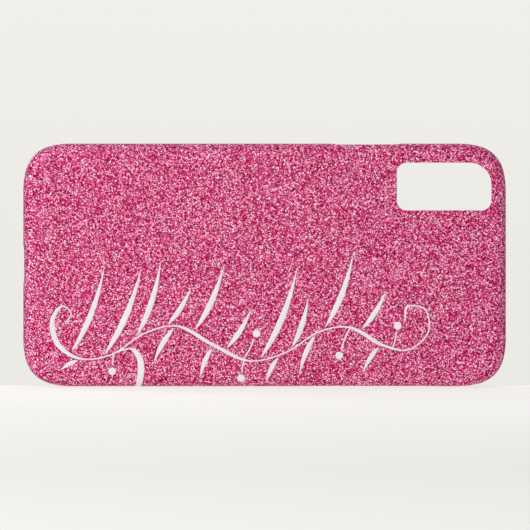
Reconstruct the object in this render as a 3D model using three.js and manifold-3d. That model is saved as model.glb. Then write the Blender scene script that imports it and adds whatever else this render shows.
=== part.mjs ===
// A clip-over phone case: one hard moulded shell, the glitter film bonded round its back and sides,
// and a leaf flourish printed on the film in white ink.
//
// Millimetres. The case stands on one long side, open front towards +Y and back towards -Y.
// X runs along it with the camera end at +X, and Z is up. The origin is the middle of the phone's
// seat, on the inside of the back. Every piece is drawn lying down first, in seat coordinates:
// x along the case, y across it and z through it, with z = 0 on the seat and +z out of the back.
import * as THREE from 'three';
import { mergeVertices } from 'three/addons/utils/BufferGeometryUtils.js';
import Module from 'manifold-3d';

const wasm = await Module();
wasm.setup();

const degree = Math.PI / 180;

// ---- The phone that the case is made for -------------------------------------------------------
const phoneLength = 143.6;
const phoneWidth = 70.9;
const phoneThickness = 7.7;
const phoneEdgeRound = 3.45; // rounding of the phone's rim, towards either face
const straightRim = 0.4; // the least straight side that is left between the two roundings
const phoneCornerRadius = 8.75; // tight middle stretch of each corner
const phoneCornerLead = 22.75; // easier radius that leads in and out of it
const cornerLeadTurn = 15 * degree; // how far each lead turns

// ---- Shell ------------------------------------------------------------------------------------
const fitClearance = 0.1; // between phone and shell, all round
const sideWall = 1.0;
const backWall = 1.1;
const lipOverhang = 1.2; // how far the front lip reaches in over the phone's rim
const rimProud = 0.5; // how far the rim stands in front of the phone's glass
const backRound = 3.05; // outer fillet between the back and the sides
const frontRound = 1.6; // outer fillet of the rim

// ---- Film and ink -----------------------------------------------------------------------------
const bondLine = 0.03; // adhesive between the shell and the film
const filmThickness = 0.12;
const filmStop = 1.0; // how far short of the rim the film ends
const filmTrim = 0.1; // how far the film is trimmed back from the shell's openings
const primerLine = 0.02; // clear primer between the film and the ink
const inkThickness = 0.1;

// ---- Openings ---------------------------------------------------------------------------------
const camera = {
  length: 28.4,
  width: 14.3,
  fromCameraEnd: 3.4, // from the phone's end to the opening
  fromButtonSide: 4.65, // from the phone's side to the opening
  cornerRadius: 3.0,
  outerCornerRadius: 6.5, // the corner that follows the case's own corner
};
// Slots through the side walls: as wide as the phone is thick, less a strip along either face.
const sideButton = { length: 21.4, strip: 0.55, fromCameraEnd: 40.9, cornerRadius: 2.6 };
const volumeButtons = { length: 42.0, strip: 1.6, fromCameraEnd: 41.5, cornerRadius: 2.1 };
const plugSlot = { length: 13.5, strip: 0.65, cornerRadius: 2.6 };
const speakerSlot = { length: 14.0, strip: 2.35, cornerRadius: 1.2, fromMiddle: 17.5 };
const slotFlatEnd = 0.1; // the least flat that is left between the two corners of a slot's end

// ---- Flourish ---------------------------------------------------------------------------------
const flourish = {
  portEndMargin: 8.5, // from the case's port end to the first curl
  cameraEndMargin: 23.0, // from the last curl to the case's camera end
  drawnLeft: -64.6, // where the first curl starts in the drawing below
  drawnLength: 114.6,
  drawnBase: -36.7, // where the case's lower edge is in the drawing
};
const hairline = 0.42;
const penSwell = 1.5; // how much thicker than a hairline a line straight down is
const penPower = 1.3; // how late a line swells as it turns down
const curlEnd = 0.12; // share of the stem over which each of its curls thins
const tailStart = 0.24; // share of the tail over which it swells
const leafGap = 0.7; // bare film between a leaf or a berry and the stem
const leafTip = 0.12; // width of a leaf's two points
const leafBow = 0.05; // a leaf's bow, as a share of its length
const leafBelly = 0.45; // how far along a leaf bows most, as a share of its length
const leafLead = 0.75; // power that puts a leaf's widest place nearer to its base
const leafPower = 1.1; // how slender a leaf is towards its two points
const berryRadius = 1.15;

// ---- Fineness of the curves ---------------------------------------------------------------------
const outlineSegments = 2;
const backRoundSegments = 4;
const frontRoundSegments = 3;
const stemSteps = 110;
const tailSteps = 10;
const twigSteps = 6;
const leafSteps = 12;
const berrySegments = 7;
const waveStart = 0.15; // share of the stem where its wave starts
const waveStep = 0.0025; // share of the stem between two places on the wave
const waveSteps = 270;

// ---- Worked-out sizes -------------------------------------------------------------------------
const pocketDepth = phoneThickness + fitClearance;
const shellOffset = fitClearance + sideWall; // from the phone's outline to the shell's outside
const shellDepth = pocketDepth + rimProud; // from the seat to the rim
const filmInside = bondLine;
const filmOutside = filmInside + filmThickness;
const inkInside = filmOutside + primerLine;
const inkOutside = inkInside + inkThickness;
const caseLength = phoneLength + 2 * (shellOffset + filmOutside);
const caseWidth = phoneWidth + 2 * (shellOffset + filmOutside);
const midThickness = -phoneThickness / 2; // height of the buttons and the plug
const weldDistance = 1e-4;
const wellClear = 20; // how far a cutter runs on past what it cuts

// ---- Solids -----------------------------------------------------------------------------------
function toSolid(geometry) {
  geometry.deleteAttribute('normal');
  geometry.deleteAttribute('uv');
  const welded = mergeVertices(geometry, weldDistance);
  return new wasm.Manifold(
    new wasm.Mesh({
      numProp: 3,
      vertProperties: Float32Array.from(welded.getAttribute('position').array),
      triVerts: Uint32Array.from(welded.getIndex().array),
    }),
  );
}

function toNode(name, solid, material) {
  const { vertProperties, triVerts } = solid.getMesh();
  const geometry = new THREE.BufferGeometry();
  geometry.setAttribute('position', new THREE.BufferAttribute(vertProperties, 3));
  geometry.setIndex(new THREE.BufferAttribute(triVerts, 1));
  geometry.computeVertexNormals();
  const node = new THREE.Mesh(geometry, material);
  node.name = name;
  return node;
}

// A straight prism of a shape, between two heights.
function prism(shape, low, high, curveSegments = outlineSegments) {
  const geometry = new THREE.ExtrudeGeometry(shape, {
    depth: high - low,
    bevelEnabled: false,
    curveSegments,
  });
  return toSolid(geometry.translate(0, 0, low));
}

// A prism whose two ends are rounded over.
function roundedPrism(shape, low, high, round, bevelSegments) {
  const geometry = new THREE.ExtrudeGeometry(shape, {
    depth: high - low - 2 * round,
    bevelThickness: round,
    bevelSize: round,
    bevelOffset: -round,
    bevelSegments,
    curveSegments: outlineSegments,
  });
  return toSolid(geometry.translate(0, 0, low + round));
}

// ---- Outlines ---------------------------------------------------------------------------------

// The phone's outline grown by an offset. Each corner is a tight arc between two easier ones that
// share its tangents, so every grown outline is exactly parallel to the phone's.
function phoneOutline(offset) {
  const quarter = Math.PI / 2;
  const easing = phoneCornerLead - phoneCornerRadius;
  const inset = phoneCornerRadius + easing * (1 - Math.cos(cornerLeadTurn));
  const near = easing * Math.sin(cornerLeadTurn);
  const far = easing * Math.cos(cornerLeadTurn);
  // each arc's centre, from the tight arc's own, then its radius and where it starts and ends
  const arcs = [
    [-far, -near, phoneCornerLead, 0, cornerLeadTurn],
    [0, 0, phoneCornerRadius, cornerLeadTurn, quarter - cornerLeadTurn],
    [-near, -far, phoneCornerLead, quarter - cornerLeadTurn, quarter],
  ];
  const shape = new THREE.Shape();
  const signs = [[1, 1], [-1, 1], [-1, -1], [1, -1]];
  signs.forEach(([sx, sy], corner) => {
    const turned = corner * quarter;
    const home = new THREE.Vector2(sx * (phoneLength / 2 - inset), sy * (phoneWidth / 2 - inset));
    for (const [x, y, radius, from, to] of arcs) {
      const centre = new THREE.Vector2(x, y).rotateAround(new THREE.Vector2(), turned).add(home);
      shape.absarc(centre.x, centre.y, radius + offset, from + turned, to + turned, false);
    }
  });
  shape.closePath();
  return shape;
}

// A rectangle about a centre, with a radius for each corner, from +x +y anticlockwise.
function roundedRectangle(centre, length, width, radii) {
  const shape = new THREE.Shape();
  const signs = [[1, 1], [-1, 1], [-1, -1], [1, -1]];
  signs.forEach(([sx, sy], corner) => {
    const radius = radii[corner];
    const x = centre.x + sx * (length / 2 - radius);
    const y = centre.y + sy * (width / 2 - radius);
    const start = (corner * Math.PI) / 2;
    shape.absarc(x, y, radius, start, start + Math.PI / 2, false);
  });
  shape.closePath();
  return shape;
}

// ---- Case body --------------------------------------------------------------------------------

// The outside of the case as one block, grown by a layer's height above the shell's surface.
function outerBlock(height) {
  const shape = phoneOutline(shellOffset + height);
  const back = backWall + height;
  const front = -shellDepth - height;
  const roundBack = roundedPrism(shape, front - wellClear, back, backRound + height, backRoundSegments);
  const roundFront = roundedPrism(shape, front, back + wellClear, frontRound + height, frontRoundSegments);
  return roundBack.intersect(roundFront);
}

// The space that holds the phone, and the way in from the front between the lips.
function phonePocket() {
  const round = Math.min(phoneEdgeRound + fitClearance, (pocketDepth - straightRim) / 2);
  const seat = roundedPrism(phoneOutline(fitClearance), -pocketDepth, 0, round, backRoundSegments);
  const wayIn = prism(phoneOutline(fitClearance - lipOverhang), -shellDepth - wellClear, midThickness);
  return seat.add(wayIn);
}

function cameraCutter(margin) {
  const centre = new THREE.Vector2(
    phoneLength / 2 - camera.fromCameraEnd - camera.length / 2,
    phoneWidth / 2 - camera.fromButtonSide - camera.width / 2,
  );
  const plain = camera.cornerRadius + margin;
  const radii = [camera.outerCornerRadius + margin, plain, plain, plain];
  const length = camera.length + 2 * margin;
  const width = camera.width + 2 * margin;
  return prism(roundedRectangle(centre, length, width, radii), midThickness, backWall + wellClear);
}

// A slot through a side wall: drawn flat about its own middle, stood up facing -y, and turned
// about z to face its own side.
function slotCutter(slot, margin, facing, x, y) {
  const length = slot.length + 2 * margin;
  const width = phoneThickness - 2 * slot.strip + 2 * margin;
  const radius = Math.min(slot.cornerRadius + margin, (width - slotFlatEnd) / 2);
  const radii = Array(4).fill(radius);
  const shape = roundedRectangle(new THREE.Vector2(), length, width, radii);
  const cutter = prism(shape, -phoneEdgeRound, wellClear);
  return cutter.rotate([90, 0, 0]).rotate([0, 0, facing]).translate([x, y, midThickness]);
}

function sideCutters(margin) {
  const buttonX = phoneLength / 2 - sideButton.fromCameraEnd;
  const volumeX = phoneLength / 2 - volumeButtons.fromCameraEnd;
  const portEnd = -phoneLength / 2;
  const speaker = speakerSlot.fromMiddle;
  return [
    slotCutter(sideButton, margin, 180, buttonX, phoneWidth / 2),
    slotCutter(volumeButtons, margin, 0, volumeX, -phoneWidth / 2),
    slotCutter(plugSlot, margin, -90, portEnd, 0),
    slotCutter(speakerSlot, margin, -90, portEnd, speaker),
    slotCutter(speakerSlot, margin, -90, portEnd, -speaker),
  ];
}

function cutOpenings(solid, margin) {
  const cutters = [cameraCutter(margin), ...sideCutters(margin)];
  return cutters.reduce((left, cutter) => left.subtract(cutter), solid);
}

function hardShell() {
  return cutOpenings(outerBlock(0).subtract(phonePocket()), 0);
}

function glitterFilm() {
  const front = -shellDepth - wellClear;
  const backOfStop = prism(phoneOutline(wellClear), front, -shellDepth + filmStop);
  const wrap = outerBlock(filmOutside).subtract(outerBlock(filmInside)).subtract(backOfStop);
  return cutOpenings(wrap, filmTrim);
}

// ---- Printed flourish -------------------------------------------------------------------------
// The strokes are drawn in the drawing's own millimetres, about the middle of the back, and fitted
// to the back by one scale.
const flourishScale =
  (caseLength - flourish.portEndMargin - flourish.cameraEndMargin) / flourish.drawnLength;

function place(point) {
  return new THREE.Vector2(
    -caseLength / 2 + flourish.portEndMargin + (point.x - flourish.drawnLeft) * flourishScale,
    -caseWidth / 2 + (point.y - flourish.drawnBase) * flourishScale,
  );
}

// A stroke along a curve. width(t, tangent) is its width at a share t of its length.
function stroke(curve, width, steps) {
  const left = [];
  const right = [];
  for (let step = 0; step <= steps; step += 1) {
    const t = step / steps;
    const point = curve.getPointAt(t);
    const tangent = curve.getTangentAt(t);
    const half = new THREE.Vector2(-tangent.y, tangent.x).multiplyScalar(width(t, tangent) / 2);
    left.push(place(point.clone().add(half)));
    right.push(place(point.clone().sub(half)));
  }
  return new THREE.Shape([...left, ...right.reverse()]);
}

// A pen line is a hairline going up and along, and thick coming down, by a share of its swell.
function penWidth(swell, tangent) {
  return hairline + penSwell * swell * Math.max(0, -tangent.y) ** penPower;
}

// The stem's line stays thin at both curls.
function stemWidth(share, tangent) {
  return penWidth(Math.min(1, share / curlEnd, (1 - share) / curlEnd), tangent);
}

function tailWidth(share, tangent) {
  return penWidth(Math.min(1, share / tailStart), tangent);
}

function smooth(points) {
  return new THREE.SplineCurve(points.map(([x, y]) => new THREE.Vector2(x, y)));
}

// The stem: a curl at the port end, a long wave, and a curl towards the camera end.
const portCurl = [[-60.2, -17.8], [-58.4, -14.6], [-61.4, -12.6], [-64.1, -17.2], [-62.2, -24.2]];
const wave = [
  [-55.4, -28.4], [-46.0, -27.0], [-36.0, -20.6], [-26.0, -18.6], [-15.5, -24.2],
  [-4.5, -29.0], [6.5, -26.4], [16.5, -20.2], [26.0, -19.0], [35.5, -24.2],
];
const cameraCurl = [[43.6, -25.6], [49.4, -20.4], [48.6, -13.6], [43.2, -12.6], [42.4, -17.0]];
const stemCurve = smooth([...portCurl, ...wave, ...cameraCurl]);
const stemShape = stroke(stemCurve, stemWidth, stemSteps);

// Places on the wave, in small steps: each one's point, and half the pen's width there.
const wavePlaces = Array.from({ length: waveSteps }, (_, step) => {
  const share = waveStart + step * waveStep;
  const half = stemWidth(share, stemCurve.getTangentAt(share)) / 2;
  return { point: stemCurve.getPointAt(share), half };
});

// The place on the wave that is nearest to an x along the case.
function onWave(x) {
  return wavePlaces.reduce((best, other) => {
    return Math.abs(other.point.x - x) < Math.abs(best.point.x - x) ? other : best;
  });
}

// A step from a point, in a direction given from the level.
function stepFrom(point, distance, lean) {
  const angle = lean * degree;
  return new THREE.Vector2(point.x + distance * Math.cos(angle), point.y + distance * Math.sin(angle));
}

// Leaves: where along the case, length, greatest width, and lean from the level in degrees.
const leaves = [
  [-58.6, 27.5, 1.6, 69], [-48.6, 28.5, 1.7, 67], [-39.0, 23.5, 1.6, 72],
  [-29.5, 13.0, 1.4, 58], [-21.5, 21.5, 1.6, 66], [-12.0, 14.0, 1.4, 58],
  [-1.5, 29.5, 1.7, 68], [8.0, 15.5, 1.5, 72], [18.0, 23.5, 1.6, 69], [29.0, 13.5, 1.4, 58],
  [-55.5, 6.0, 1.1, -150], [-27.0, 12.0, 1.4, -120], [-15.5, 9.5, 1.3, -112],
  [4.5, 8.5, 1.2, -116], [15.5, 12.5, 1.4, -112], [35.0, 9.0, 1.2, -122],
];

// A line from a root that bows to its right.
function bowed(root, lean, length) {
  const belly = stepFrom(stepFrom(root, length * leafBelly, lean), 2 * length * leafBow, lean - 90);
  return new THREE.QuadraticBezierCurve(root, belly, stepFrom(root, length, lean));
}

// A slender leaf, widest nearer to its base.
function leafShape([x, length, widest, lean]) {
  const { point, half } = onWave(x);
  const middle = bowed(stepFrom(point, half + leafGap, lean), lean, length);
  const width = (share) => leafTip + widest * Math.sin(Math.PI * share ** leafLead) ** leafPower;
  return stroke(middle, width, leafSteps);
}

// Twigs with a berry past the end of each: where along the case, length, and lean.
const twigs = [[-45.5, 3.6, -96], [-6.5, 7.0, 62], [-6.0, 3.8, -100], [26.0, 7.2, -112], [38.5, 5.2, 76]];

function twigShape([x, length, lean]) {
  return stroke(bowed(onWave(x).point, lean, length), () => hairline, twigSteps);
}

function berryShape([x, length, lean]) {
  const centre = place(stepFrom(onWave(x).point, length + leafGap + berryRadius, lean));
  const radius = berryRadius * flourishScale;
  return new THREE.Shape().absarc(centre.x, centre.y, radius, 0, 2 * Math.PI, false);
}

// The tail: a branch that turns down from the stem and runs on round the case's lower edge.
const tailCurve = smooth([[-44.6, -26.3], [-40.2, -25.4], [-37.6, -28.6], [-37.4, -33.4], [-38.6, -38.6]]);
const tailShape = stroke(tailCurve, tailWidth, tailSteps);

// ---- Printing ---------------------------------------------------------------------------------

// The layer of ink over the film.
const inkLayer = outerBlock(inkOutside).subtract(outerBlock(inkInside));

// Shapes printed as one patch of ink, as deep as the film wraps the edge.
function printed(shapes, segments = outlineSegments) {
  const stamps = shapes.map((shape) => {
    return prism(shape, -shellDepth + filmStop, backWall + wellClear, segments);
  });
  return wasm.Manifold.union(stamps).intersect(inkLayer);
}

// ---- Assembly ---------------------------------------------------------------------------------
const filmMaterial = new THREE.MeshStandardMaterial({ color: 0xcd6489, roughness: 0.35, metalness: 0.1 });
const shellMaterial = new THREE.MeshStandardMaterial({ color: 0xece8e4, roughness: 0.5, metalness: 0 });
const inkMaterial = new THREE.MeshStandardMaterial({ color: 0xebe3e1, roughness: 0.4, metalness: 0 });

const phoneCase = new THREE.Group();
phoneCase.add(toNode('hard_shell', hardShell(), shellMaterial));
phoneCase.add(toNode('glitter_film', glitterFilm(), filmMaterial));
const stemShapes = [stemShape, tailShape, ...twigs.map(twigShape)];
phoneCase.add(toNode('flourish_stem', printed(stemShapes), inkMaterial));
leaves.forEach((leaf, index) => {
  phoneCase.add(toNode(`flourish_leaf_${index + 1}`, printed([leafShape(leaf)]), inkMaterial));
});
twigs.forEach((twig, index) => {
  const berry = printed([berryShape(twig)], berrySegments);
  phoneCase.add(toNode(`flourish_berry_${index + 1}`, berry, inkMaterial));
});
phoneCase.rotation.x = Math.PI / 2;

export default phoneCase;
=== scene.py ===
"""A clip-over phone case: glitter film round a hard shell, with a printed leaf flourish.

The CAD frame gives every piece's place. This script builds the fine meshes that stand for the
CAD nodes, their materials, and a plain studio. Lengths are in metres, and MM is a millimetre.
The case stands on a long side: x runs along it to the camera's end, z up, and y out of its front.
"""

import math

import bmesh
import bpy
import numpy as np
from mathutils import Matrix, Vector


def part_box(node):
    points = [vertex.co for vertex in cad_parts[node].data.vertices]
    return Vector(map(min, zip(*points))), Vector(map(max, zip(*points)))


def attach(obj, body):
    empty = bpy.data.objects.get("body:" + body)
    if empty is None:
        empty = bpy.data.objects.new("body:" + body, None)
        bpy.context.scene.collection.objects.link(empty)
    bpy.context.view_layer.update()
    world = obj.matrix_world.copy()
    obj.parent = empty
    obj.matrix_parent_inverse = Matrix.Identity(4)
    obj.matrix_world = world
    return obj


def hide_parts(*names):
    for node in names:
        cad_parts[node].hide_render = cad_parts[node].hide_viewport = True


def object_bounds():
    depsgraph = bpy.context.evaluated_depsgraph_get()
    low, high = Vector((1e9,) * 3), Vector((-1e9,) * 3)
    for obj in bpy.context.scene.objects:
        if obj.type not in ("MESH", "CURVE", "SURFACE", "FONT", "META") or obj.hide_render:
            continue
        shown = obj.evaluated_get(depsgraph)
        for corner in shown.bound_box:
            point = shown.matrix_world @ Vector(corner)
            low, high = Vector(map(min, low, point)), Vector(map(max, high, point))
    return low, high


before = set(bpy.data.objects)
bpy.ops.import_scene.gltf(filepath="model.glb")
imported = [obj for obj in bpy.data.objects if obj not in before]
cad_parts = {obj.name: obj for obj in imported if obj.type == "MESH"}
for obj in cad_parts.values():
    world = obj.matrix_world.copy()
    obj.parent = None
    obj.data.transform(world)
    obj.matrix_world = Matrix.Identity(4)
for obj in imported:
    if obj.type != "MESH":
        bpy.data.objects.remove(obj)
for leftover in ("Cube", "Light", "Camera"):
    if leftover in bpy.data.objects:
        bpy.data.objects.remove(bpy.data.objects[leftover])
cad_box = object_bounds()

MM = 0.001
PER_MM = 1 / MM
DEGREE = math.pi / 180
QUARTER_TURN = math.pi / 2
FULL_TURN = 2 * math.pi

# ---- Sizes that the case is worked out from ---------------------------------------------------
shell_low, shell_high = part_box("hard_shell")
film_low, film_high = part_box("glitter_film")
HALF_LENGTH = shell_high.x
HALF_WIDTH = shell_high.z
BACK = shell_low.y
RIM = shell_high.y
FILM_BACK = film_low.y
FILM_STOP = film_high.y

SIDE_WALL = 1.0 * MM
LIP_OVERHANG = 1.2 * MM
LIP_EDGE = 0.25 * MM
POCKET_DEPTH = 7.8 * MM
POCKET_ROUND = 3.55 * MM
BACK_ROUND = 3.05 * MM
FRONT_ROUND = 1.6 * MM
BOND_LINE = 0.03 * MM
CORNER_RADIUS = 9.85 * MM
CORNER_LEAD = 23.85 * MM
LEAD_TURN = 15 * DEGREE

LEAD_STEPS = 5
TIGHT_STEPS = 16
DEEP_FILLET_STEPS = 12
FRONT_FILLET_STEPS = 8
EDGE_FILLET_STEPS = 4


def arc(centre, radius, start, end, steps):
    """Points on an arc, both ends included."""
    angles = np.linspace(start, end, steps + 1)
    return np.stack([centre[0] + radius * np.cos(angles), centre[1] + radius * np.sin(angles)], 1)


def finished(name, mesh):
    """An object in the scene from a bmesh."""
    data = bpy.data.meshes.new(name)
    mesh.to_mesh(data)
    mesh.free()
    piece = bpy.data.objects.new(name, data)
    bpy.context.scene.collection.objects.link(piece)
    return piece


def closed_body(name, rings):
    """A closed body through rings of points, each as long as the next, capped at both ends."""
    mesh = bmesh.new()
    loops = [[mesh.verts.new(point) for point in ring] for ring in rings]
    count = len(loops[0])
    for low, high in zip(loops, loops[1:]):
        for i in range(count):
            j = (i + 1) % count
            mesh.faces.new((low[i], low[j], high[j], high[i]))
    mesh.faces.new(loops[0])
    mesh.faces.new(loops[-1])
    bmesh.ops.recalc_face_normals(mesh, faces=mesh.faces)
    return finished(name, mesh)


# ---- Shell and film ---------------------------------------------------------------------------
def outline(offset):
    """The shell's outline in x and z, grown by an offset, anticlockwise from the middle of +x."""
    easing = CORNER_LEAD - CORNER_RADIUS
    inset = CORNER_RADIUS + easing * (1 - math.cos(LEAD_TURN))
    near = easing * math.sin(LEAD_TURN)
    far = easing * math.cos(LEAD_TURN)
    arcs = (
        (-far, -near, CORNER_LEAD, 0, LEAD_TURN, LEAD_STEPS),
        (0, 0, CORNER_RADIUS, LEAD_TURN, QUARTER_TURN - LEAD_TURN, TIGHT_STEPS),
        (-near, -far, CORNER_LEAD, QUARTER_TURN - LEAD_TURN, QUARTER_TURN, LEAD_STEPS),
    )
    points = []
    for corner, (sx, sz) in enumerate(((1, 1), (-1, 1), (-1, -1), (1, -1))):
        turned = corner * QUARTER_TURN
        home = (sx * (HALF_LENGTH - inset), sz * (HALF_WIDTH - inset))
        for index, (x, z, radius, start, end, steps) in enumerate(arcs):
            centre = (
                home[0] + x * math.cos(turned) - z * math.sin(turned),
                home[1] + x * math.sin(turned) + z * math.cos(turned),
            )
            part = arc(centre, radius + offset, start + turned, end + turned, steps)
            points.append(part if index == 0 else part[1:])
    return np.concatenate(points)


def fillet(inset, depth, radius, start, end, steps):
    """Profile points on a fillet about (inset, depth), as (offset, depth) pairs."""
    return [tuple(p) for p in arc((inset, depth), radius, start * DEGREE, end * DEGREE, steps)]


def loft(name, profile):
    """A closed body: the outline swept through a profile of (offset, depth) pairs."""
    return closed_body(name, [[(x, depth, z) for x, z in outline(offset)] for offset, depth in profile])


def shell_body():
    """The shell: round its outside from back to rim, over the lip, and down into the pocket."""
    lip = -SIDE_WALL - LIP_OVERHANG
    pocket_middle = -SIDE_WALL - POCKET_ROUND
    reach = math.degrees(math.acos(1 - LIP_OVERHANG / POCKET_ROUND))
    profile = fillet(-BACK_ROUND, BACK + BACK_ROUND, BACK_ROUND, -90, 0, DEEP_FILLET_STEPS)
    profile += fillet(-FRONT_ROUND, RIM - FRONT_ROUND, FRONT_ROUND, 0, 90, FRONT_FILLET_STEPS)
    profile += fillet(lip + LIP_EDGE, RIM - LIP_EDGE, LIP_EDGE, 90, 180, EDGE_FILLET_STEPS)
    profile += fillet(pocket_middle, POCKET_DEPTH - POCKET_ROUND, POCKET_ROUND, reach, 0, FRONT_FILLET_STEPS)
    profile += fillet(pocket_middle, POCKET_ROUND, POCKET_ROUND, 0, -90, DEEP_FILLET_STEPS)
    return loft("shell", profile)


def film_body():
    """The film: round the outside of the back and sides, and back again along its inside."""
    inner = BOND_LINE
    outer = BACK - FILM_BACK
    back = BACK + BACK_ROUND
    front = RIM - FRONT_ROUND
    stop = math.degrees(math.asin((FILM_STOP - front) / (FRONT_ROUND + (outer + inner) / 2)))
    profile = fillet(-BACK_ROUND, back, BACK_ROUND + outer, -90, 0, DEEP_FILLET_STEPS)
    profile += fillet(-FRONT_ROUND, front, FRONT_ROUND + outer, 0, stop, EDGE_FILLET_STEPS)
    profile += fillet(-FRONT_ROUND, front, FRONT_ROUND + inner, stop, 0, EDGE_FILLET_STEPS)
    profile += fillet(-BACK_ROUND, back, BACK_ROUND + inner, 0, -90, DEEP_FILLET_STEPS)
    return loft("film", profile)


# ---- Openings ---------------------------------------------------------------------------------
CAMERA = {"length": 28.4 * MM, "width": 14.3 * MM, "from_end": 4.5 * MM, "from_side": 5.75 * MM}
CAMERA_RADII = (6.5 * MM, 3.0 * MM, 3.0 * MM, 3.0 * MM)
BUTTON_SLOT = {"length": 21.4 * MM, "width": 6.6 * MM, "radius": 2.6 * MM}
VOLUME_SLOT = {"length": 42.0 * MM, "width": 4.5 * MM, "radius": 2.1 * MM}
PLUG_SLOT = {"length": 13.5 * MM, "width": 6.4 * MM, "radius": 2.6 * MM}
SPEAKER_SLOT = {"length": 14.0 * MM, "width": 3.0 * MM, "radius": 1.2 * MM}
BUTTON_FROM_END = 42.0 * MM
VOLUME_FROM_END = 42.6 * MM
SPEAKER_FROM_MIDDLE = 17.5 * MM
SLOT_DEPTH = 3.85 * MM
CAMERA_EASE = 0.12 * MM
SLOT_EASE = 0.15 * MM
FILM_TRIM = 0.1 * MM
CORNER_STEPS = 10
EASE_TURNS = (0, 30, 60, 90)
CAMERA_CUTTER_REACH = 4 * MM
SLOT_CUTTER_INSIDE = 5 * MM
SLOT_CUTTER_OUTSIDE = 4 * MM


def rounded_rectangle(length, width, radii):
    """Points of a rectangle about the origin, with a radius for each corner from ++ anticlockwise."""
    points = []
    for corner, (sx, sy) in enumerate(((1, 1), (-1, 1), (-1, -1), (1, -1))):
        radius = radii[corner]
        centre = (sx * (length / 2 - radius), sy * (width / 2 - radius))
        start = corner * QUARTER_TURN
        points.append(arc(centre, radius, start, start + QUARTER_TURN, CORNER_STEPS))
    return np.concatenate(points)


def cutter(length, width, radii, levels, place):
    """A plug of a rounded rectangle that grows by (growth, height) levels. place puts a point."""
    rings = []
    for growth, height in levels:
        grown = [radius + growth for radius in radii]
        points = rounded_rectangle(length + 2 * growth, width + 2 * growth, grown)
        rings.append([place(a, b, height) for a, b in points])
    return closed_body("cutter", rings)


def eased(ease, margin, turn):
    """How much a hole is grown, and how far into the wall, at a turn of its eased edge."""
    return margin + ease * (1 - math.sin(turn * DEGREE)), ease * (1 - math.cos(turn * DEGREE))


def eased_levels(inside, outside, wall, ease, margin):
    """Levels of a cutter through a wall from -wall to 0, eased at both of the wall's faces."""
    levels = [(margin + ease, -inside), (margin + ease, -wall)]
    for turn in EASE_TURNS[1:]:
        growth, depth = eased(ease, margin, turn)
        levels.append((growth, -wall + depth))
    for turn in reversed(EASE_TURNS):
        growth, depth = eased(ease, margin, turn)
        levels.append((growth, -depth))
    levels.append((margin + ease, outside))
    return levels


def camera_cutter(margin, ease):
    middle_x = HALF_LENGTH - CAMERA["from_end"] - CAMERA["length"] / 2
    middle_z = HALF_WIDTH - CAMERA["from_side"] - CAMERA["width"] / 2
    levels = eased_levels(CAMERA_CUTTER_REACH, CAMERA_CUTTER_REACH, -BACK, ease, margin)
    return cutter(
        CAMERA["length"],
        CAMERA["width"],
        CAMERA_RADII,
        levels,
        lambda a, b, height: (middle_x + a, BACK - height, middle_z + b),
    )


def slot_cutter(slot, margin, ease, place):
    levels = eased_levels(SLOT_CUTTER_INSIDE, SLOT_CUTTER_OUTSIDE, SIDE_WALL, ease, margin)
    return cutter(slot["length"], slot["width"], [slot["radius"]] * 4, levels, place)


def on_long_wall(middle, side):
    """Puts a slot's points on the upper long wall (side 1) or the lower (-1), about a middle x."""
    return lambda a, b, height: (middle + a, SLOT_DEPTH + b, side * (HALF_WIDTH + height))


def on_plug_wall(middle):
    """Puts a slot's points on the end wall with the plug's slot, about a middle z."""
    return lambda a, b, height: (-HALF_LENGTH - height, SLOT_DEPTH + b, middle + a)


def side_cutters(margin, ease):
    slots = (
        (BUTTON_SLOT, on_long_wall(HALF_LENGTH - BUTTON_FROM_END, 1)),
        (VOLUME_SLOT, on_long_wall(HALF_LENGTH - VOLUME_FROM_END, -1)),
        (PLUG_SLOT, on_plug_wall(0)),
        (SPEAKER_SLOT, on_plug_wall(-SPEAKER_FROM_MIDDLE)),
        (SPEAKER_SLOT, on_plug_wall(SPEAKER_FROM_MIDDLE)),
    )
    return [slot_cutter(slot, margin, ease, place) for slot, place in slots]


# Marks of the mould in the seat: where the pins pushed the case out, and where it was filled.
PIN_RADIUS = 3.0 * MM
PIN_DEPTH = 0.2 * MM
PIN_SLOPE = 0.15 * MM
PIN_COLUMNS = (-58 * MM, -20 * MM, 20 * MM)
PIN_ROW = 24 * MM
LAST_PINS = ((58 * MM, -24 * MM), (58 * MM, 6 * MM))
GATE_RADIUS = 3.2 * MM
GATE_DEPTH = 0.25 * MM
GATE_SLOPE = 0.2 * MM
GATE_STUB_RADIUS = 0.7 * MM
GATE_STUB_SLOPE = 0.1 * MM
GATE_STUB_GAP = 0.03 * MM
MARK_REACH = 1 * MM
MARK_STEPS = 48


def lathe(name, profile, x, z):
    """A body turned about a line along y, through a profile of (radius, y) pairs."""
    turns = np.linspace(0, FULL_TURN, MARK_STEPS, endpoint=False)
    rings = []
    for radius, y in profile:
        rings.append([(x + radius * math.cos(turn), y, z + radius * math.sin(turn)) for turn in turns])
    return closed_body(name, rings)


def mould_marks():
    """Cutters for the pin marks, and for the gate's well with a stub left in its middle."""
    places = [(x, z) for x in PIN_COLUMNS for z in (-PIN_ROW, PIN_ROW)]
    places += LAST_PINS
    pin = [(PIN_RADIUS - PIN_SLOPE, -PIN_DEPTH), (PIN_RADIUS, 0), (PIN_RADIUS, MARK_REACH)]
    gate = [
        (GATE_STUB_RADIUS, -GATE_STUB_GAP),
        (GATE_STUB_RADIUS + GATE_STUB_SLOPE, -GATE_DEPTH),
        (GATE_RADIUS - GATE_SLOPE, -GATE_DEPTH),
        (GATE_RADIUS, 0),
        (GATE_RADIUS, MARK_REACH),
    ]
    marks = [lathe("pin_mark", pin, x, z) for x, z in places]
    marks.append(lathe("gate_mark", gate, 0, 0))
    return marks


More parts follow.
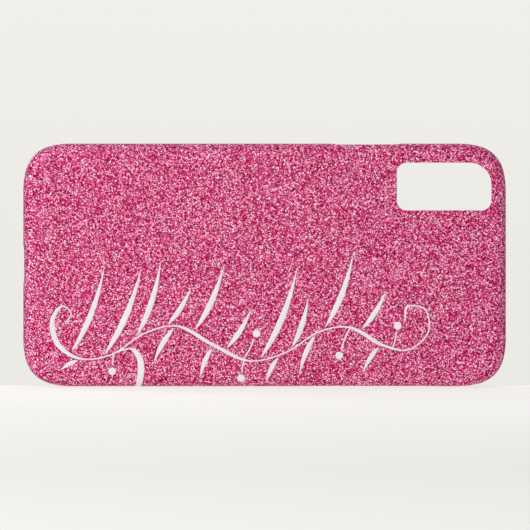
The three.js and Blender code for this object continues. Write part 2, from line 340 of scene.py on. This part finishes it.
def apply_modifiers(piece):
    """Makes a piece's modifiers part of its mesh."""
    depsgraph = bpy.context.evaluated_depsgraph_get()
    evaluated = piece.evaluated_get(depsgraph)
    data = bpy.data.meshes.new_from_object(evaluated)
    piece.modifiers.clear()
    old = piece.data
    piece.data = data
    bpy.data.meshes.remove(old)


def combine(piece, others, operation):
    """Joins or cuts a piece with other bodies for good, and removes them."""
    for other in others:
        modifier = piece.modifiers.new("combine", "BOOLEAN")
        modifier.operation = operation
        modifier.solver = "EXACT"
        modifier.object = other
    apply_modifiers(piece)
    for other in others:
        bpy.data.objects.remove(other)


# ---- Flourish ---------------------------------------------------------------------------------
# The drawing, in millimetres about the middle of the back. A pen line is a hairline that swells
# as it turns down, and a leaf is (x on the stem, length, width, lean in degrees).
HAIRLINE = 0.42
PEN_SWELL = 1.5
PEN_POWER = 1.3
CURL_END = 0.12
LEAF_GAP = 0.7
LEAF_TIP = 0.12
LEAF_BOW = 0.05
LEAF_BELLY = 0.45
LEAF_LEAD = 0.75
LEAF_POWER = 1.1
BERRY_RADIUS = 1.15
WAVE_START = 0.15
WAVE_END = 0.83

PORT_CURL = [(-60.2, -17.8), (-58.4, -14.6), (-61.4, -12.6), (-64.1, -17.2), (-62.2, -24.2)]
WAVE = [
    (-55.4, -28.4), (-46.0, -27.0), (-36.0, -20.6), (-26.0, -18.6), (-15.5, -24.2),
    (-4.5, -29.0), (6.5, -26.4), (16.5, -20.2), (26.0, -19.0), (35.5, -24.2),
]
CAMERA_CURL = [(43.6, -25.6), (49.4, -20.4), (48.6, -13.6), (43.2, -12.6), (42.4, -17.0)]
TAIL = [(-44.6, -26.3), (-40.2, -25.4), (-37.6, -28.6), (-37.4, -33.4), (-38.6, -38.6), (-40.6, -44.4)]
LEAVES = [
    (-58.6, 27.5, 1.6, 69), (-48.6, 28.5, 1.7, 67), (-39.0, 23.5, 1.6, 72),
    (-29.5, 13.0, 1.4, 58), (-21.5, 21.5, 1.6, 66), (-12.0, 14.0, 1.4, 58),
    (-1.5, 29.5, 1.7, 68), (8.0, 15.5, 1.5, 72), (18.0, 23.5, 1.6, 69), (29.0, 13.5, 1.4, 58),
    (-55.5, 6.0, 1.1, -150), (-27.0, 12.0, 1.4, -120), (-15.5, 9.5, 1.3, -112),
    (4.5, 8.5, 1.2, -116), (15.5, 12.5, 1.4, -112), (35.0, 9.0, 1.2, -122),
]
TWIGS = [(-45.5, 3.6, -96), (-6.5, 7.0, 62), (-6.0, 3.8, -100), (26.0, 7.2, -112), (38.5, 5.2, 76)]

SPAN_STEPS = 60
BOW_STEPS = 200
STEM_STEPS = 700
TAIL_STEPS = 120
TWIG_STEPS = 40
LEAF_STEPS = 70
BERRY_STEPS = 40


def even(dense, steps):
    """A dense line of points in steps of equal length: (points, tangents, shares)."""
    lengths = np.concatenate([[0], np.cumsum(np.linalg.norm(np.diff(dense, axis=0), axis=1))])
    shares = np.linspace(0, 1, steps + 1)
    at = shares * lengths[-1]
    points = np.stack([np.interp(at, lengths, dense[:, k]) for k in (0, 1)], 1)
    tangents = np.gradient(points, axis=0)
    tangents /= np.linalg.norm(tangents, axis=1)[:, None]
    return points, tangents, shares


def spline(points, steps):
    """A smooth curve through points, in even steps."""
    points = np.array(points)
    padded = np.concatenate([points[:1], points, points[-1:]])
    dense = []
    for before, start, end, after in zip(padded, padded[1:], padded[2:], padded[3:]):
        t = np.linspace(0, 1, SPAN_STEPS, endpoint=False)[:, None]
        out = (end - before) / 2
        into = (after - start) / 2
        cubic = (2 * start - 2 * end + out + into) * t**3
        square = (-3 * start + 3 * end - 2 * out - into) * t**2
        dense.append(cubic + square + out * t + start)
    dense.append(points[-1:])
    return even(np.concatenate(dense), steps)


def stepped(point, distance, lean):
    """A point a distance away, in the direction of a lean in degrees."""
    angle = lean * DEGREE
    return np.array([point[0] + distance * math.cos(angle), point[1] + distance * math.sin(angle)])


def bowed(root, lean, length, steps):
    """A line from a root that bows to its right, in even steps."""
    belly = stepped(stepped(root, length * LEAF_BELLY, lean), 2 * length * LEAF_BOW, lean - 90)
    tip = stepped(root, length, lean)
    t = np.linspace(0, 1, BOW_STEPS)[:, None]
    return even((1 - t) ** 2 * root + 2 * t * (1 - t) * belly + t**2 * tip, steps)


def pen_widths(shares, tangents):
    """A hairline going up and along, and thick coming down. A curl's end stays thin."""
    fade = np.minimum(1, np.minimum(shares / CURL_END, (1 - shares) / CURL_END))
    return HAIRLINE + PEN_SWELL * fade * np.maximum(0, -tangents[:, 1]) ** PEN_POWER


FILM_ROUND = BACK_ROUND + BACK - FILM_BACK
FRONT_FILM_ROUND = FRONT_ROUND + BACK - FILM_BACK
SIDE_LENGTH = RIM - FRONT_ROUND - (FILM_BACK + FILM_ROUND)


def on_film(x, z, height):
    """The place of a drawing point on the film, wrapped round the case's lower edge."""
    x = x * MM
    z = z * MM
    fillet_top = film_low.z + FILM_ROUND
    past_flat = fillet_top - z
    past_fillet = past_flat - FILM_ROUND * QUARTER_TURN
    past_side = past_fillet - SIDE_LENGTH
    if past_flat <= 0:
        return (x, FILM_BACK - height, z)
    if past_fillet <= 0:
        turn = past_flat / FILM_ROUND
        reach = FILM_ROUND + height
        return (x, FILM_BACK + FILM_ROUND - reach * math.cos(turn), fillet_top - reach * math.sin(turn))
    if past_side <= 0:
        return (x, FILM_BACK + FILM_ROUND + past_fillet, film_low.z - height)
    turn = past_side / FRONT_FILM_ROUND
    reach = FRONT_FILM_ROUND + height
    front = RIM - FRONT_ROUND
    return (x, front + reach * math.sin(turn), film_low.z + FRONT_FILM_ROUND - reach * math.cos(turn))


INK_HEIGHT = 0.12 * MM
INK_FOOT = -0.01 * MM
INK_SQUARENESS = 6
ACROSS = (-1.0, -0.9, -0.7, -0.35, 0.0, 0.35, 0.7, 0.9, 1.0)
BERRY_TOP = (1.0, 0.92, 0.75, 0.5, 0.25)


def ink_height(across):
    """The ink's height over the film, from its middle (0) to its edge (1): level, then rounded."""
    return INK_HEIGHT * (1 - abs(across) ** INK_SQUARENESS) ** 0.5


def ink_strip(name, points, tangents, widths):
    """A closed ribbon of ink with a domed top."""
    rings = []
    for point, tangent, width in zip(points, tangents, widths):
        normal = np.array([-tangent[1], tangent[0]]) * width / 2
        top = [on_film(*(point + normal * across), ink_height(across)) for across in ACROSS]
        foot = [on_film(*(point + normal * across), INK_FOOT) for across in (1.0, -1.0)]
        rings.append(top + foot)
    return closed_body(name, rings)


def ink_piece(name, strips):
    """One patch of ink, joined from closed ribbons."""
    first, *others = [ink_strip(name, *strip) for strip in strips]
    if others:
        combine(first, others, "UNION")
    return first


def berry_piece(name, centre):
    """A round drop of ink: a foot under the film's surface, then rings up its domed top."""
    turns = np.linspace(0, FULL_TURN, BERRY_STEPS, endpoint=False)
    levels = [(1.0, INK_FOOT)] + [(share, ink_height(share)) for share in BERRY_TOP]
    rings = []
    for share, height in levels:
        ring = []
        for turn in turns:
            x = centre[0] + BERRY_RADIUS * share * math.cos(turn)
            z = centre[1] + BERRY_RADIUS * share * math.sin(turn)
            ring.append(on_film(x, z, height))
        rings.append(ring)
    return closed_body(name, rings)


stem_points, stem_tangents, stem_shares = spline(PORT_CURL + WAVE + CAMERA_CURL, STEM_STEPS)
stem_widths = pen_widths(stem_shares, stem_tangents)


def on_wave(x):
    """The stem's point on the wave at a place along the case, and half its width there."""
    wave = (stem_shares > WAVE_START) & (stem_shares < WAVE_END)
    nearest = np.argmin(np.where(wave, abs(stem_points[:, 0] - x), np.inf))
    return stem_points[nearest], stem_widths[nearest] / 2


def flourish():
    """The stem with its tail and twigs, the leaves, and a berry over each twig, by node name."""
    tail_points, tail_tangents, tail_shares = spline(TAIL, TAIL_STEPS)
    tail_widths = pen_widths(np.minimum(tail_shares / 2, 0.5), tail_tangents)
    strips = [(stem_points, stem_tangents, stem_widths), (tail_points, tail_tangents, tail_widths)]
    for x, length, lean in TWIGS:
        points, tangents, _ = bowed(on_wave(x)[0], lean, length, TWIG_STEPS)
        strips.append((points, tangents, np.full(len(points), HAIRLINE)))
    pieces = [("flourish_stem", ink_piece("ink_stem", strips))]
    for index, (x, length, widest, lean) in enumerate(LEAVES, 1):
        point, half = on_wave(x)
        base = stepped(point, half + LEAF_GAP, lean)
        points, tangents, shares = bowed(base, lean, length, LEAF_STEPS)
        swell = np.maximum(0, np.sin(math.pi * shares**LEAF_LEAD)) ** LEAF_POWER
        strip = (points, tangents, LEAF_TIP + widest * swell)
        pieces.append((f"flourish_leaf_{index}", ink_piece(f"ink_leaf_{index}", [strip])))
    for index, (x, length, lean) in enumerate(TWIGS, 1):
        centre = stepped(on_wave(x)[0], length + LEAF_GAP + BERRY_RADIUS, lean)
        pieces.append((f"flourish_berry_{index}", berry_piece(f"ink_berry_{index}", centre)))
    return pieces


# ---- Materials --------------------------------------------------------------------------------
def srgb(red, green, blue):
    """A colour given as the eye reads it, 0 to 255, in the renderer's linear light."""
    linear = []
    for value in (red, green, blue):
        share = value / 255
        linear.append(share / 12.92 if share <= 0.04045 else ((share + 0.055) / 1.055) ** 2.4)
    return (*linear, 1.0)


class Nodes:
    """A short way to make and link the shader nodes of a new material."""

    def __init__(self, name):
        self.material = bpy.data.materials.new(name)
        self.material.use_nodes = True
        self.tree = self.material.node_tree
        self.shader = self.tree.nodes["Principled BSDF"]
        self.place = self.add("ShaderNodeTexCoord").outputs["Object"]

    def add(self, kind, inputs=None, **settings):
        """A node whose inputs are numbers, or sockets to link."""
        node = self.tree.nodes.new(kind)
        for key, value in settings.items():
            setattr(node, key, value)
        for key, value in (inputs or {}).items():
            socket = node.inputs[key]
            if isinstance(value, bpy.types.NodeSocket):
                self.tree.links.new(value, socket)
            else:
                socket.default_value = value
        return node

    def link(self, value, socket):
        """Drives one of the shader's sockets."""
        self.tree.links.new(value, self.shader.inputs[socket])

    def set(self, **values):
        """Sets the shader's own sockets, with _ for a space in a socket's name."""
        for socket, value in values.items():
            self.shader.inputs[socket.replace("_", " ")].default_value = value

    def math(self, operation, a, b=0.0):
        return self.add("ShaderNodeMath", {0: a, 1: b}, operation=operation).outputs[0]

    def vector(self, operation, inputs):
        return self.add("ShaderNodeVectorMath", inputs, operation=operation).outputs[0]

    def noise(self, scale, detail):
        inputs = {"Vector": self.place, "Scale": scale, "Detail": detail}
        return self.add("ShaderNodeTexNoise", inputs).outputs["Fac"]

    def bump(self, height, strength, distance):
        """Makes the surface rise and fall with a height."""
        inputs = {"Height": height, "Strength": strength, "Distance": distance}
        self.link(self.add("ShaderNodeBump", inputs).outputs["Normal"], "Normal")

    def ramp(self, factor, stops):
        """A colour from a factor, by (position, colour) stops."""
        node = self.add("ShaderNodeValToRGB", {"Fac": factor})
        elements = node.color_ramp.elements
        elements[0].position = stops[0][0]
        elements[0].color = stops[0][1]
        elements[1].position = stops[-1][0]
        elements[1].color = stops[-1][1]
        for position, colour in stops[1:-1]:
            elements.new(position).color = colour
        return node.outputs["Color"]


FLAKES = 3.4 * PER_MM
FLAKE_COLOURS = [
    (0.00, srgb(72, 0, 30)),
    (0.17, srgb(134, 0, 60)),
    (0.44, srgb(192, 24, 96)),
    (0.65, srgb(212, 74, 132)),
    (0.83, srgb(255, 156, 200)),
    (1.00, srgb(255, 240, 250)),
]
FLAKE_HUE_START = 0.485
FLAKE_HUE_SPREAD = 0.03
FLAKE_TILT = 0.45
FLAKE_SMOOTHEST = 0.3
FLAKE_ROUGHNESSES = 0.3


def glitter_material():
    """Flakes under a clear coat: each flake has its own colour, tilt and shine."""
    nodes = Nodes("pink_glitter")
    flakes = nodes.add("ShaderNodeTexVoronoi", {"Vector": nodes.place, "Scale": FLAKES})
    chance = nodes.add("ShaderNodeSeparateColor", {"Color": flakes.outputs["Color"]})
    colour = nodes.ramp(chance.outputs[0], FLAKE_COLOURS)
    spread = nodes.math("MULTIPLY", chance.outputs[2], FLAKE_HUE_SPREAD)
    hue = nodes.math("ADD", spread, FLAKE_HUE_START)
    varied = nodes.add("ShaderNodeHueSaturation", {"Color": colour, "Hue": hue})
    nodes.link(varied.outputs["Color"], "Base Color")
    tilt = nodes.vector("SUBTRACT", {0: flakes.outputs["Color"], 1: (0.5, 0.5, 0.5)})
    lean = nodes.vector("SCALE", {0: tilt, "Scale": FLAKE_TILT})
    normal = nodes.add("ShaderNodeNewGeometry").outputs["Normal"]
    leaned = nodes.vector("ADD", {0: normal, 1: lean})
    nodes.link(nodes.vector("NORMALIZE", {0: leaned}), "Normal")
    dulled = nodes.math("MULTIPLY", chance.outputs[1], FLAKE_ROUGHNESSES)
    nodes.link(nodes.math("ADD", dulled, FLAKE_SMOOTHEST), "Roughness")
    nodes.set(Metallic=0.3, Specular_IOR_Level=0.1, Specular_Tint=srgb(238, 130, 172))
    nodes.set(Coat_Weight=0.08, Coat_Roughness=0.25)
    return nodes.material


def shell_material():
    """Off-white moulded plastic with a fine spark-eroded grain."""
    nodes = Nodes("moulded_plastic")
    cloud = nodes.noise(0.05 * PER_MM, 3.0)
    nodes.link(nodes.ramp(cloud, [(0.3, srgb(233, 230, 226)), (0.7, srgb(238, 235, 231))]), "Base Color")
    grain = nodes.noise(5.0 * PER_MM, 4.0)
    nodes.bump(grain, 0.25, 0.02 * MM)
    nodes.link(nodes.math("ADD", nodes.math("MULTIPLY", grain, 0.2), 0.36), "Roughness")
    nodes.set(Subsurface_Weight=0.08, Subsurface_Scale=0.8 * MM)
    return nodes.material


def ink_material():
    """Opaque white ink with a slight orange peel."""
    nodes = Nodes("white_ink")
    cloud = nodes.noise(0.35 * PER_MM, 4.0)
    nodes.link(nodes.ramp(cloud, [(0.3, srgb(221, 218, 219)), (0.7, srgb(230, 228, 229))]), "Base Color")
    nodes.bump(nodes.noise(2.4 * PER_MM, 3.0), 0.2, 0.03 * MM)
    nodes.set(Roughness=0.4)
    return nodes.material


# ---- The case ---------------------------------------------------------------------------------
HARD_EDGE = 35 * DEGREE
INK_HARD_EDGE = 50 * DEGREE
AREA_WEIGHT = 100


def smooth_shading(piece, angle):
    """Smooth faces, sharp only past an angle, with large flat faces kept flat."""
    piece.data.shade_smooth()
    piece.data.set_sharp_from_angle(angle=angle)
    weighted = piece.modifiers.new("weighted", "WEIGHTED_NORMAL")
    weighted.keep_sharp = True
    weighted.weight = AREA_WEIGHT


def dress(piece, material, node, hard_edge=HARD_EDGE):
    """Gives a piece its look, and puts it in the place of its CAD node."""
    piece.data.materials.clear()
    piece.data.materials.append(material)
    smooth_shading(piece, hard_edge)
    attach(piece, "root")
    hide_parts(node)


shell = shell_body()
combine(shell, [camera_cutter(0, CAMERA_EASE)] + side_cutters(0, SLOT_EASE) + mould_marks(), "DIFFERENCE")
dress(shell, shell_material(), "hard_shell")

film = film_body()
combine(film, [camera_cutter(FILM_TRIM, 0)] + side_cutters(FILM_TRIM, 0), "DIFFERENCE")
dress(film, glitter_material(), "glitter_film")

ink = ink_material()
for node, piece in flourish():
    dress(piece, ink, node, INK_HARD_EDGE)


# ---- Studio -----------------------------------------------------------------------------------
case_low, case_high = cad_box
VIEW_WIDTH = 160.0 * MM
VIEW_MIDDLE = 0.14 * MM
VIEW_HEIGHT = -0.06 * MM
CAMERA_DISTANCE = 1.1
CAMERA_NEAREST = 0.01
CAMERA_FURTHEST = 20
SENSOR = 36.0
TABLE_WIDTH = 1.4
TABLE_FRONT = -0.9
TABLE_BACK = case_high.y + 12 * MM
TABLE_EDGE_ROUND = 10 * MM
TABLE_EDGE_STEPS = 12
TABLE_DROP = 0.4
# Painted light: how strongly the table glows, from 0.45 m in front of the case up to the case's line.
TABLE_PAINTED_GLOW = {"From Min": -0.45, "From Max": 0.0, "To Min": 0.32, "To Max": 0.59}
BACKDROP_RADIUS = 4.0
BACKDROP_HEIGHT = 6.0
BACKDROP_STEPS = 64
ROOM_LIGHT = 0.4


def swept(name, profile, places):
    """A sheet through copies of a profile of (reach, z) points, one at each place."""
    mesh = bmesh.new()
    rows = [[mesh.verts.new(place(reach, z)) for reach, z in profile] for place in places]
    for low, high in zip(rows, rows[1:]):
        for i in range(len(profile) - 1):
            mesh.faces.new((low[i], low[i + 1], high[i + 1], high[i]))
    sheet = finished(name, mesh)
    sheet.data.shade_smooth()
    return sheet


def table():
    """A pale table that glows with painted light, stronger towards the case as a painted pool of light, with
    its far edge rounded just behind it.
    """
    top = case_low.z
    edge = (TABLE_BACK - TABLE_EDGE_ROUND, top - TABLE_EDGE_ROUND)
    profile = [(TABLE_FRONT, top)]
    profile += list(arc(edge, TABLE_EDGE_ROUND, QUARTER_TURN, 0, TABLE_EDGE_STEPS))
    profile.append((TABLE_BACK, top - TABLE_DROP))
    sides = (-TABLE_WIDTH / 2, TABLE_WIDTH / 2)
    sheet = swept("table", profile, [lambda y, z, x=x: (x, y, z) for x in sides])
    nodes = Nodes("table_with_painted_glow")
    nodes.set(Base_Color=srgb(186, 186, 182), Roughness=0.8, Emission_Color=srgb(240, 241, 237))
    place = nodes.add("ShaderNodeSeparateXYZ", {"Vector": nodes.place})
    # Painted light: the table's glow grows towards the case, a painted pool of light on the floor.
    glow = nodes.add("ShaderNodeMapRange", {"Value": place.outputs["Y"], **TABLE_PAINTED_GLOW})
    nodes.link(glow.outputs[0], "Emission Strength")
    sheet.data.materials.append(nodes.material)


def backdrop():
    """A pale drum all round, which only the camera sees, so it sends no light to the case."""
    profile = [(BACKDROP_RADIUS, -BACKDROP_HEIGHT / 2), (BACKDROP_RADIUS, BACKDROP_HEIGHT / 2)]
    turns = np.linspace(0, FULL_TURN, BACKDROP_STEPS + 1)
    places = [lambda r, z, t=t: (r * math.cos(t), r * math.sin(t), z) for t in turns]
    sheet = swept("backdrop", profile, places)
    sheet.visible_diffuse = False
    sheet.visible_glossy = False
    sheet.visible_transmission = False
    sheet.visible_shadow = False
    nodes = Nodes("backdrop_paper")
    nodes.set(Base_Color=(0, 0, 0, 1), Specular_IOR_Level=0, Emission_Strength=1)
    place = nodes.add("ShaderNodeSeparateXYZ", {"Vector": nodes.place})
    # Painted light: the drum is lighter towards the top.
    glow = nodes.ramp(place.outputs["Z"], [(0.0, srgb(236, 234, 229)), (0.34, srgb(241, 239, 235))])
    nodes.link(glow, "Emission Color")
    sheet.data.materials.append(nodes.material)


def soft_light(name, place, size, power):
    """A flat light that faces the case, and that the camera doesn't see."""
    data = bpy.data.lights.new(name, "AREA")
    data.shape = "RECTANGLE"
    data.size, data.size_y = size
    data.energy = power
    light = bpy.data.objects.new(name, data)
    light.location = place
    light.visible_camera = False
    light.rotation_euler = (-Vector(place)).to_track_quat("-Z", "Y").to_euler()
    bpy.context.scene.collection.objects.link(light)


def room_light():
    """An even white light from all round."""
    world = bpy.data.worlds.new("studio")
    world.use_nodes = True
    background = world.node_tree.nodes["Background"]
    background.inputs["Color"].default_value = (1.0, 1.0, 1.0, 1.0)
    background.inputs["Strength"].default_value = ROOM_LIGHT
    bpy.context.scene.world = world


def camera():
    """A camera square on to the back of the case."""
    data = bpy.data.cameras.new("camera")
    data.sensor_width = SENSOR
    data.lens = SENSOR * CAMERA_DISTANCE / VIEW_WIDTH
    data.clip_start = CAMERA_NEAREST
    data.clip_end = CAMERA_FURTHEST
    made = bpy.data.objects.new("camera", data)
    made.location = (VIEW_MIDDLE, case_low.y - CAMERA_DISTANCE, VIEW_HEIGHT)
    made.rotation_euler = (QUARTER_TURN, 0, 0)
    bpy.context.scene.collection.objects.link(made)
    bpy.context.scene.camera = made


table()
backdrop()
soft_light("key", (-0.46, -1.0, 0.52), (0.6, 0.6), 8.6)
soft_light("overhead", (0.1, 0.45, 1.2), (1.0, 1.0), 3.2)
soft_light("rear_fill", (-1.2, 1.3, 0.75), (0.5, 0.5), 8.5)
room_light()
bpy.context.scene.view_settings.view_transform = "Standard"
camera()
